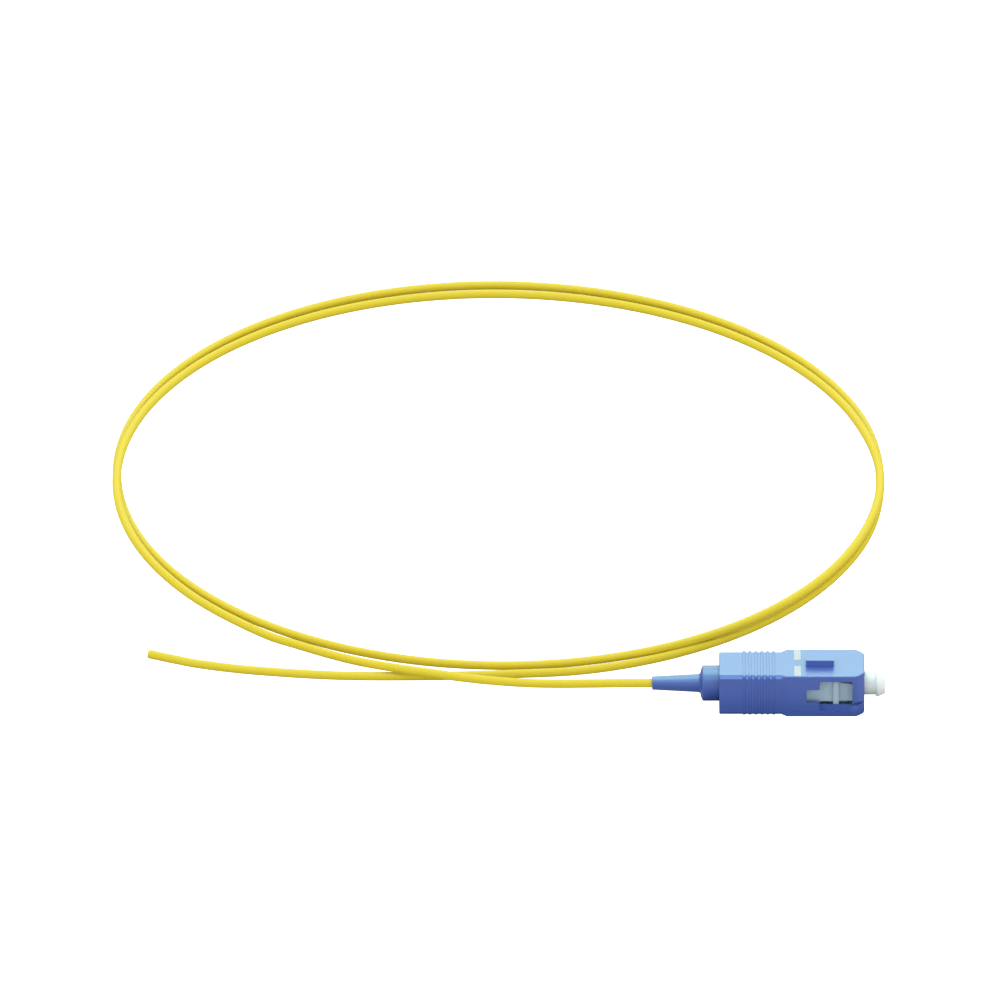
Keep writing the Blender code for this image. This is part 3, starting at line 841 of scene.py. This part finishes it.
def moulded_plastic(name, dark, light, roughness, grain_size, grain_depth, extra=None):
    """A moulded plastic. Grain sizes are in metres, and extra holds further shader inputs."""
    material, tree, shader, place = new_material(name)
    grain = add_node(
        tree, "ShaderNodeTexNoise", {"Vector": place, "Scale": 1 / grain_size, "Detail": 3.0}
    )
    flow = add_node(
        tree, "ShaderNodeTexNoise", {"Vector": place, "Scale": 1 / FLOW_SIZE, "Detail": 2.0}
    )
    colour = mixed_colour(tree, flow.outputs["Fac"], dark, light)
    gloss = add_node(
        tree,
        "ShaderNodeMapRange",
        {"Value": grain.outputs["Fac"], "To Min": roughness - 0.06, "To Max": roughness + 0.06},
    )
    bump = add_node(
        tree,
        "ShaderNodeBump",
        {"Height": grain.outputs["Fac"], "Distance": grain_depth, "Strength": 0.5},
    )
    skin = {
        "Base Color": colour,
        "Roughness": gloss.outputs["Result"],
        "Normal": bump.outputs["Normal"],
        "IOR": 1.54,
    }
    set_inputs(tree, shader, skin | (extra or {}))
    return material


blue_plastic = moulded_plastic(
    "moulded blue polyester",
    "#425CA8",
    "#4761AE",
    roughness=0.36,
    grain_size=0.07 * MM,
    grain_depth=0.003 * MM,
)
dress(shell, blue_plastic)

# %% Make the ribs
half_rib = RIB_WIDTH / 2
rib_middle = FRONT_X - LAST_RIB_BACK - half_rib
rib_rows = [(rib_middle - half_rib, grip_section(-RIB_ROOT, RIB_ROOT_CORNER))]
# Half of a rib's soft top: shares of its width, and of its height there.
rib_profile = ((0.0, 0.0), (0.16, 0.75), (0.26, 1.0))
rib_profile += tuple((1 - along, rise) for along, rise in reversed(rib_profile))
for along, rise in rib_profile:
    x = rib_middle + (along - 0.5) * RIB_WIDTH
    corner = GRIP_CHAMFER + (RIB_CHAMFER - GRIP_CHAMFER) * rise
    rib_rows.append((x, grip_section(RIB_HEIGHT * rise, corner, 1.8, GRIP_CHAMFER)))
rib_rows.append((rib_middle + half_rib, grip_section(-RIB_ROOT, RIB_ROOT_CORNER)))
one_rib = loft("one_rib", rib_rows, ring=True)
ribs = run_nodes(
    one_rib,
    repeat_tree(),
    {"Count": RIB_COUNT, "Pitch": (-RIB_PITCH, 0, 0), "Material": blue_plastic},
    "grip_ribs",
)
ribs = level_faces(ribs)
describe(ribs)

# %% [markdown]
# Two short white bars are printed on the top face. They could be painted in the housing's material,
# but print is a film of ink, so each bar is a thin sheet just proud of the plastic: its edges stay
# crisp from close by. The ink is dull and opaque, and dries a little uneven.

# %% White print
BAR_BACK = 10.22 * MM
BAR_LENGTH = 1.05 * MM
BAR_INNER_Y = 1.0 * MM
BAR_OUTER_Y = 4.25 * MM
BAR_CORNER = 0.08 * MM
INK_THICKNESS = 0.012 * MM

top_z = AXIS_Z + HALF_HEIGHT
bars = bmesh.new()
for side in (-1, 1):
    bar = block(
        "bar",
        FRONT_X - BAR_BACK - BAR_LENGTH,
        FRONT_X - BAR_BACK,
        BAR_OUTER_Y - BAR_INNER_Y,
        2 * INK_THICKNESS,
        middle_z=top_z,
        middle_y=side * (BAR_INNER_Y + BAR_OUTER_Y) / 2,
        edge=BAR_CORNER,
        axis=2,
    )
    bars.from_mesh(bar.data)
    bpy.data.objects.remove(bar, do_unlink=True)
print_bars = shape_from(bars, "white_print")
white_ink = moulded_plastic(
    "white printing ink",
    "#BAC4C7",
    "#C1C9CB",
    roughness=0.7,
    grain_size=0.05 * MM,
    grain_depth=0.002 * MM,
    extra={"Specular IOR Level": 0.2},
)
dress(print_bars, white_ink)

# %% [markdown]
# Through the window shows the plug frame, the pale body inside. Its latch block carries a ridge that
# an adapter's hooks snap over, and a thin arm joins the block to the rear body. It is built as a
# machinist would see it: blocks joined end to end, then bored. The plastic is the same kind as the
# housing's in a pale grey blue, a little duller, and thin enough to let some light in.

# %% Plug frame
frame_low, frame_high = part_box("plug_frame")
NOSE_LENGTH = 1.3 * MM
NOSE_WIDTH = 5.8 * MM
NOSE_HEIGHT = 5.4 * MM
BLOCK_WIDTH = 5.6 * MM
BLOCK_HEIGHT = 3.7 * MM
BLOCK_FRONT_HEIGHT = 3.0 * MM
BLOCK_DROP = 0.25 * MM
BLOCK_SLOPE_LENGTH = 2.7 * MM
RIDGE_BACK = 4.15 * MM
RIDGE_LENGTH = 0.85 * MM
RIDGE_WIDTH = 6.6 * MM
RIDGE_HEIGHT = 4.1 * MM
ARM_WIDTH = 5.8 * MM
ARM_HEIGHT = 3.4 * MM
JOIN = 0.3 * MM
BODY_EDGE = 0.35 * MM
LATCH_EDGE = 0.12 * MM
ARM_EDGE = 0.1 * MM
CORE_WALL = 0.2 * MM
SLOPE_INSET = 0.05 * MM
COUNTERBORE_END = 0.25 * MM
CHAMBER_WALL = 0.1 * MM
FERRULE_BORE = 2.7 * MM
COUNTERBORE = 4.3 * MM
CHAMBER_DIAMETER = 4.6 * MM

nose_x = frame_high.x
block_x = nose_x - NOSE_LENGTH
slope_x = block_x - BLOCK_SLOPE_LENGTH
ridge_x = FRONT_X - RIDGE_BACK
counterbore_x = block_x + COUNTERBORE_END
chamber_x = notch_rear - CHAMBER_WALL
arm_rear = notch_rear - JOIN
arm_front = window_rear + JOIN
latch_frame = block("latch_frame", block_x, nose_x, NOSE_WIDTH, NOSE_HEIGHT, edge=BODY_EDGE)
slope_rows = []
for x, height, drop in (
    (slope_x - JOIN, BLOCK_HEIGHT - 2 * SLOPE_INSET, 0.0),
    (block_x + JOIN, BLOCK_FRONT_HEIGHT, BLOCK_DROP),
):
    outline = section(BLOCK_WIDTH / 2 - SLOPE_INSET, height / 2, LATCH_EDGE, 1.0)
    slope_rows.append((x, [(y, z - drop) for y, z in outline]))
frame_pieces = [
    loft("latch_slope", slope_rows),
    block("latch_block", window_rear, slope_x, BLOCK_WIDTH, BLOCK_HEIGHT, edge=LATCH_EDGE),
    block(
        "latch_ridge", ridge_x - RIDGE_LENGTH, ridge_x, RIDGE_WIDTH, RIDGE_HEIGHT, edge=LATCH_EDGE
    ),
    block("latch_arm", arm_rear, arm_front, ARM_WIDTH, ARM_HEIGHT, edge=ARM_EDGE),
    turned(
        "core_tube",
        [
            (arm_front, 0),
            (arm_front, FERRULE_BORE / 2 + CORE_WALL),
            (arm_rear, FERRULE_BORE / 2 + CORE_WALL),
            (arm_rear, 0),
        ],
    ),
    block(
        "rear_body",
        frame_low.x,
        notch_rear,
        frame_high.y - frame_low.y,
        frame_high.z - frame_low.z,
        edge=BODY_EDGE,
    ),
]
bores = turned(
    "frame_bores",
    [
        (nose_x + PAST, 0),
        (nose_x + PAST, COUNTERBORE / 2),
        (counterbore_x, COUNTERBORE / 2),
        (counterbore_x, FERRULE_BORE / 2),
        (chamber_x, FERRULE_BORE / 2),
        (chamber_x, CHAMBER_DIAMETER / 2),
        (frame_low.x - PAST, CHAMBER_DIAMETER / 2),
        (frame_low.x - PAST, 0),
    ],
)
combine(latch_frame, "UNION", *frame_pieces)
combine(latch_frame, "DIFFERENCE", bores)
cut_edges(latch_frame)
latch_frame = baked(latch_frame, "latch_frame", bores, *frame_pieces)
latch_frame = level_faces(latch_frame)
pale_plastic = moulded_plastic(
    "moulded pale polyester",
    "#A8C2CF",
    "#B0C9D5",
    roughness=0.42,
    grain_size=0.06 * MM,
    grain_depth=0.002 * MM,
    extra={"Subsurface Weight": 0.1, "Subsurface Scale": 0.3 * MM},
)
dress(latch_frame, pale_plastic)

# %% [markdown]
# The boot keeps the cord from kinking where it leaves the plug. The boot, the dust cap and the pieces
# inside the plug are all round, so each is turned: a profile is drawn from the front to the rear and
# spun about the plug's axis. Its corners are rounded first, by a size that suits how each was made.
# The boot's plastic is softer than the housing's, in a slightly deeper blue with an even satin sheen.

# %% Boot
COLLAR_PROUD = 2.95 * MM
SHOULDER_LENGTH = 0.3 * MM
SHOULDER_DROP = 0.75 * MM
TAPER_LENGTH = 7.5 * MM
TAPER_FRONT = 2.95 * MM
TAPER_TIP = 2.15 * MM
COLLAR_FOOT = 0.2 * MM
COLLAR_FOOT_LENGTH = 0.05 * MM
CORD_BORE = CORD_DIAMETER + 0.2 * MM
BARREL_BORE = 3.6 * MM

collar_radius = (boot_high.y - boot_low.y) / 2
collar_rear = REAR_X - COLLAR_PROUD
taper_x = boot_low.x + TAPER_LENGTH
# Here the bore widens, because the cord ends and the ring's barrel starts.
bore_step = cord_start
boot = turned(
    "short_boot",
    [
        (boot_high.x, collar_radius),
        (collar_rear + SHOULDER_LENGTH, collar_radius),
        (collar_rear, collar_radius - SHOULDER_DROP),
        (collar_rear - COLLAR_FOOT_LENGTH, TAPER_FRONT / 2 + COLLAR_FOOT),
        (taper_x, TAPER_FRONT / 2),
        (boot_low.x, TAPER_TIP / 2),
        (boot_low.x, CORD_BORE / 2),
        (bore_step, CORD_BORE / 2),
        (bore_step, BARREL_BORE / 2),
        (boot_high.x, BARREL_BORE / 2),
    ],
    rounding=0.16 * MM,
)
blue_boot = moulded_plastic(
    "moulded blue soft plastic",
    "#34529B",
    "#3957A2",
    roughness=0.38,
    grain_size=0.08 * MM,
    grain_depth=0.003 * MM,
)
dress(smooth(boot, 50), blue_boot)

# %% [markdown]
# The dust cap is soft polyethylene, thin and milky. Light goes into it, scatters and comes out again,
# so it looks almost white, and greyer where the ferrule is behind it. A rough transmission with a
# little scattering gives that, and keeps some gloss on the outside.

# %% Dust cap
cap_low, cap_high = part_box("dust_cap")
CAP_NECK = 3.7 * MM
CAP_NECK_PROUD = 1.86 * MM
CAP_FLANGE = 0.4 * MM
CAP_END = 3.4 * MM
CAP_END_EDGE = 0.1 * MM
CAP_END_SIDE = 0.15 * MM
CAP_BORE = 2.7 * MM
CAP_END_WALL = 0.86 * MM

flange_x = FRONT_X + CAP_NECK_PROUD
cap_flange_radius = (cap_high.y - cap_low.y) / 2
cap = turned(
    "dust_cover",
    [
        (cap_high.x, 0),
        (cap_high.x, CAP_END / 2 - CAP_END_EDGE),
        (cap_high.x - CAP_END_SIDE, CAP_END / 2),
        (flange_x + CAP_FLANGE, cap_flange_radius),
        (flange_x, cap_flange_radius),
        (flange_x, CAP_NECK / 2),
        (cap_low.x, CAP_NECK / 2),
        (cap_low.x, CAP_BORE / 2),
        (cap_high.x - CAP_END_WALL, CAP_BORE / 2),
        (cap_high.x - CAP_END_WALL, 0),
    ],
    rounding=0.1 * MM,
)
milky_plastic = moulded_plastic(
    "milky polyethylene",
    "#E9F1F0",
    "#F2F8F7",
    roughness=0.3,
    grain_size=0.09 * MM,
    grain_depth=0.002 * MM,
    extra={
        "IOR": 1.51,
        "Transmission Weight": 0.2,
        "Subsurface Weight": 0.5,
        "Subsurface Scale": 0.8 * MM,
    },
)
dress(smooth(cap, 60), milky_plastic)

# %% [markdown]
# Under the cap is the ferrule, a rod of zirconia ceramic that holds the fibre. It is ground and then
# polished, so it is white and glossy, with a high IOR. Behind it, out of sight, are its metal flange,
# a spring and the ring that holds the spring in.

# %% Ferrule and the metal pieces
ferrule_low, ferrule_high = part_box("ferrule")
ferrule_radius = (ferrule_high.y - ferrule_low.y) / 2
FERRULE_CHAMFER = 0.35 * MM
GLASS_DIAMETER = 0.125 * MM
GLASS_RECESS = 0.02 * MM

ferrule = turned(
    "ferrule_rod",
    [
        (ferrule_high.x - GLASS_RECESS, 0),
        (ferrule_high.x - GLASS_RECESS, GLASS_DIAMETER / 2),
        (ferrule_high.x, GLASS_DIAMETER / 2),
        (ferrule_high.x, ferrule_radius - FERRULE_CHAMFER),
        (ferrule_high.x - FERRULE_CHAMFER, ferrule_radius),
        (ferrule_low.x, ferrule_radius),
        (ferrule_low.x, 0),
    ],
    rounding=0.03 * MM,
)
dress(
    smooth(ferrule),
    moulded_plastic(
        "polished zirconia",
        "#F2F1EC",
        "#F7F6F2",
        roughness=0.14,
        grain_size=0.02 * MM,
        grain_depth=0.0005 * MM,
        extra={"IOR": 2.1, "Subsurface Weight": 0.15, "Subsurface Scale": 0.2 * MM},
    ),
)

flange_low, flange_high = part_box("ferrule_flange")
flange_radius = (flange_high.y - flange_low.y) / 2
FLANGE_THICKNESS = 1.6 * MM
FLANGE_BORE = 2.6 * MM
FLANGE_WALL = 0.2 * MM
flange = turned(
    "flange_ring",
    [
        (flange_high.x, flange_radius),
        (flange_high.x - FLANGE_THICKNESS, flange_radius),
        (flange_high.x - FLANGE_THICKNESS, FLANGE_BORE / 2 + FLANGE_WALL),
        (flange_low.x, FLANGE_BORE / 2 + FLANGE_WALL),
        (flange_low.x, FLANGE_BORE / 2),
        (flange_high.x, FLANGE_BORE / 2),
    ],
    rounding=0.05 * MM,
)

STOP_BARREL = 3.4 * MM
STOP_FRONT = 4.4 * MM
STOP_COLLAR_BACK = 0.3 * MM
STOP_COLLAR_LENGTH = 0.5 * MM
stop_collar = (stop_high.y - stop_low.y) / 2
stop_collar_front = frame_low.x - STOP_COLLAR_BACK
stop_collar_rear = stop_collar_front - STOP_COLLAR_LENGTH
stop_ring = turned(
    "stop_bush",
    [
        (stop_high.x, STOP_FRONT / 2),
        (stop_collar_front, STOP_FRONT / 2),
        (stop_collar_front, stop_collar),
        (stop_collar_rear, stop_collar),
        (stop_collar_rear, STOP_BARREL / 2),
        (stop_low.x, STOP_BARREL / 2),
        (stop_low.x, CORD_BORE / 2),
        (stop_high.x, CORD_BORE / 2),
    ],
    rounding=0.06 * MM,
)

# %% [markdown]
# The flange and the ring are brass, turned on a lathe and plated with nickel: bright, warm grey, with
# fine rings that blur what they reflect. The noise is squeezed along the axis and stretched across
# it, which draws the rings. The spring's wire is drawn steel, which is greyer and a little duller.

# %% Material: turned metal
RING_WIDTH = 0.03 * MM
RING_LENGTH = 1.67 * MM


def turned_metal(name, colour, roughness):
    """A turned metal: fine rings round the plug's axis, from the tool that cut it."""
    material, tree, shader, place = new_material(name)
    squeeze = (1 / RING_WIDTH, 1 / RING_LENGTH, 1 / RING_LENGTH)
    rings = add_node(tree, "ShaderNodeMapping", {"Vector": place, "Scale": squeeze})
    marks = add_node(
        tree,
        "ShaderNodeTexNoise",
        {"Vector": rings.outputs["Vector"], "Scale": 1.0, "Detail": 2.0},
    )
    bump = add_node(
        tree, "ShaderNodeBump", {"Height": marks.outputs["Fac"], "Distance": 0.001 * MM}
    )
    gloss = add_node(
        tree,
        "ShaderNodeMapRange",
        {"Value": marks.outputs["Fac"], "To Min": roughness - 0.08, "To Max": roughness + 0.08},
    )
    skin = {
        "Base Color": linear(colour),
        "Metallic": 1.0,
        "Roughness": gloss.outputs["Result"],
        "Normal": bump.outputs["Normal"],
    }
    set_inputs(tree, shader, skin)
    return material


nickel = turned_metal("turned nickel plate", "#CFCBC4", 0.25)
wire_steel = turned_metal("drawn spring steel", "#B9B9BB", 0.3)
dress(smooth(flange), nickel)
dress(smooth(stop_ring), nickel)

# %% [markdown]
# The spring is a helix of round wire. A Screw modifier could draw it too, but in Geometry Nodes its
# rule has named inputs: a spiral with as many turns as the spring has, which carries a circle along.

# %% Spring by Geometry Nodes
SPRING_TURNS = 5
WIRE_DIAMETER = 0.4 * MM
spring_low, spring_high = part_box("spring")


def spring_tree():
    """A round wire along a spiral whose radius stays the same."""
    tree, given = node_tree(
        "coil spring",
        [
            ("Turns", "NodeSocketFloat"),
            ("Coil Radius", "NodeSocketFloat"),
            ("Length", "NodeSocketFloat"),
            ("Wire Radius", "NodeSocketFloat"),
            ("Material", "NodeSocketMaterial"),
        ],
    )
    helix = add_node(
        tree,
        "GeometryNodeCurveSpiral",
        {
            "Resolution": 32,
            "Rotations": given.outputs["Turns"],
            "Start Radius": given.outputs["Coil Radius"],
            "End Radius": given.outputs["Coil Radius"],
            "Height": given.outputs["Length"],
        },
    )
    wire = add_node(
        tree,
        "GeometryNodeCurvePrimitiveCircle",
        {"Resolution": 16, "Radius": given.outputs["Wire Radius"]},
    )
    coil = add_node(
        tree,
        "GeometryNodeCurveToMesh",
        {
            "Curve": helix.outputs["Curve"],
            "Profile Curve": wire.outputs["Curve"],
            "Fill Caps": True,
        },
    )
    return finish_tree(tree, coil.outputs["Mesh"], given)


spring_base = link("spring_base", bpy.data.meshes.new("spring_base"))
spring_base.location = (spring_low.x + WIRE_DIAMETER / 2, 0, AXIS_Z)
spring_base.rotation_euler.y = math.radians(90)
spring = run_nodes(
    spring_base,
    spring_tree(),
    {
        "Turns": float(SPRING_TURNS),
        "Coil Radius": (spring_high.y - spring_low.y) / 2 - WIRE_DIAMETER / 2,
        "Length": spring_high.x - spring_low.x - WIRE_DIAMETER,
        "Wire Radius": WIRE_DIAMETER / 2,
        "Material": wire_steel,
    },
    "coil_spring",
)
describe(smooth(spring, 60))

# %% [markdown]
# Each piece rides on the body that carries it, so that it moves with the part's joints, and the
# imported node that it stands for is hidden.

# %% Tie every piece to the frame
for piece, body, node, slot in (
    (cord, "plug_body", "cord", "cord_jacket"),
    (shell, "grip", "grip_housing", "blue_plastic"),
    (ribs, "grip", "grip_housing", "blue_plastic"),
    (print_bars, "grip", None, "blue_plastic"),
    (latch_frame, "plug_body", "plug_frame", "frame_plastic"),
    (boot, "plug_body", "boot", "blue_boot"),
    (cap, "cap", "dust_cap", "cap_plastic"),
    (ferrule, "ferrule_set", "ferrule", "zirconia"),
    (flange, "ferrule_set", "ferrule_flange", "plated_metal"),
    (spring, "plug_body", "spring", "spring_steel"),
    (stop_ring, "plug_body", "stop_ring", "plated_metal"),
):
    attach(piece, body)
    if node:
        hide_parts(node)
    print(f"{piece.name} rides on {body}")

# %% [markdown]
# The picture is a catalogue picture. The plug was photographed on a table under a wide soft light, and
# then the table was painted over with pure white: the object shows the table's grey light on its lower
# sides, but there is no shadow on the white. Two floors in the same place do the same here. The
# camera sees only the white one, and the light only meets the grey one. Close to the plug the table
# lay in the plug's own shade, which two small dark sheets stand for. All of them are papers: matt,
# with hardly any gloss, so they throw back an even light and mirror nothing.

# %% Floor and table
FLOOR_SIZE = 4.0
SHADE_REACH = 5.0 * MM
CONTACT_REACH = 0.9 * MM
PAPER_GRAIN = 0.5 * MM


def floor_sheet(name, material, height, length=FLOOR_SIZE, width=FLOOR_SIZE, middle_x=0.0):
    """A level sheet that belongs to the picture and not to the object."""
    bm = bmesh.new()
    size = Matrix.Diagonal((length, width, 1, 1))
    place = Matrix.Translation((middle_x, 0, height))
    bmesh.ops.create_grid(bm, x_segments=1, y_segments=1, size=0.5, matrix=place @ size)
    sheet = dress(shape_from(bm, name, outwards=False), material)
    return sheet


def paper(name, colour, glow):
    """A matt paper. With some glow it stays pure white whatever the light."""
    material, tree, shader, place = new_material(name)
    fibres = add_node(tree, "ShaderNodeTexNoise", {"Vector": place, "Scale": 1 / PAPER_GRAIN})
    gloss = add_node(
        tree, "ShaderNodeMapRange", {"Value": fibres.outputs["Fac"], "To Min": 0.85, "To Max": 0.95}
    )
    skin = {
        "Base Color": linear(colour),
        "Roughness": gloss.outputs["Result"],
        "Specular IOR Level": 0.1,
        "Emission Color": linear(WHITE),
        "Emission Strength": glow,
    }
    set_inputs(tree, shader, skin)
    return material


white_floor = floor_sheet("floor", paper("white background", "#F4F4F4", 1.0), -0.02 * MM)
white_floor.visible_diffuse = False
white_floor.visible_glossy = False
table_sheets = [floor_sheet("table", paper("grey table", "#BCBCBC", 0.0), 0.0)]
for name, colour, height, reach in (
    ("shade", "#505058", 0.01 * MM, SHADE_REACH),
    ("contact shade", "#18181C", 0.02 * MM, CONTACT_REACH),
):
    length = FRONT_X - REAR_X + reach
    width = 2 * (HALF_WIDTH + reach)
    skin = paper(f"table in the plug's {name}", colour, 0.0)
    table_sheets.append(floor_sheet(name, skin, height, length, width, (FRONT_X + REAR_X) / 2))
for sheet in table_sheets:
    sheet.visible_camera = False
    sheet.visible_transmission = False
    sheet.visible_shadow = False

# %% [markdown]
# The light is a white sky all round. The top faces are sky blue in the picture, so wide soft boxes
# stand where the camera sees them mirrored: one low at the back for the level faces, one overhead for
# the round pieces, and one in front for the sloping edge of the grip. They show only as reflections.

# %% World and soft boxes
SKY_STRENGTH = 1.3

world = bpy.data.worlds.new("studio")
bpy.context.scene.world = world
world.use_nodes = True
world.node_tree.nodes.clear()
sky = add_node(
    world.node_tree, "ShaderNodeBackground", {"Color": linear(WHITE), "Strength": SKY_STRENGTH}
)
add_node(world.node_tree, "ShaderNodeOutputWorld", {"Surface": sky.outputs["Background"]})


def soft_box(name, place, width, height, power, colour):
    """A rectangular light that faces the plug and shows only as a reflection."""
    data = bpy.data.lights.new(name, "AREA")
    data.shape = "RECTANGLE"
    data.size = width
    data.size_y = height
    data.energy = power
    data.color = linear(colour)[:3]
    lamp = link(name, data)
    lamp.location = place
    lamp.rotation_mode = "QUATERNION"
    lamp.rotation_quaternion = (-Vector(place)).to_track_quat("-Z", "Y")
    lamp.visible_diffuse = False
    print(f"{name}: {width} x {height} m, {power} W")


soft_box("back soft box", (0.0, 0.95, 0.53), 1.2, 0.6, 9.5, "#C4FFDC")
soft_box("overhead soft box", (0.0, 0.3, 1.05), 1.4, 0.9, 30.0, "#C4FFDC")
soft_box("front soft box", (0.0, -0.53, 0.95), 1.4, 0.5, 9.0, "#7FDCFF")
bpy.context.scene.view_settings.view_transform = "Standard"
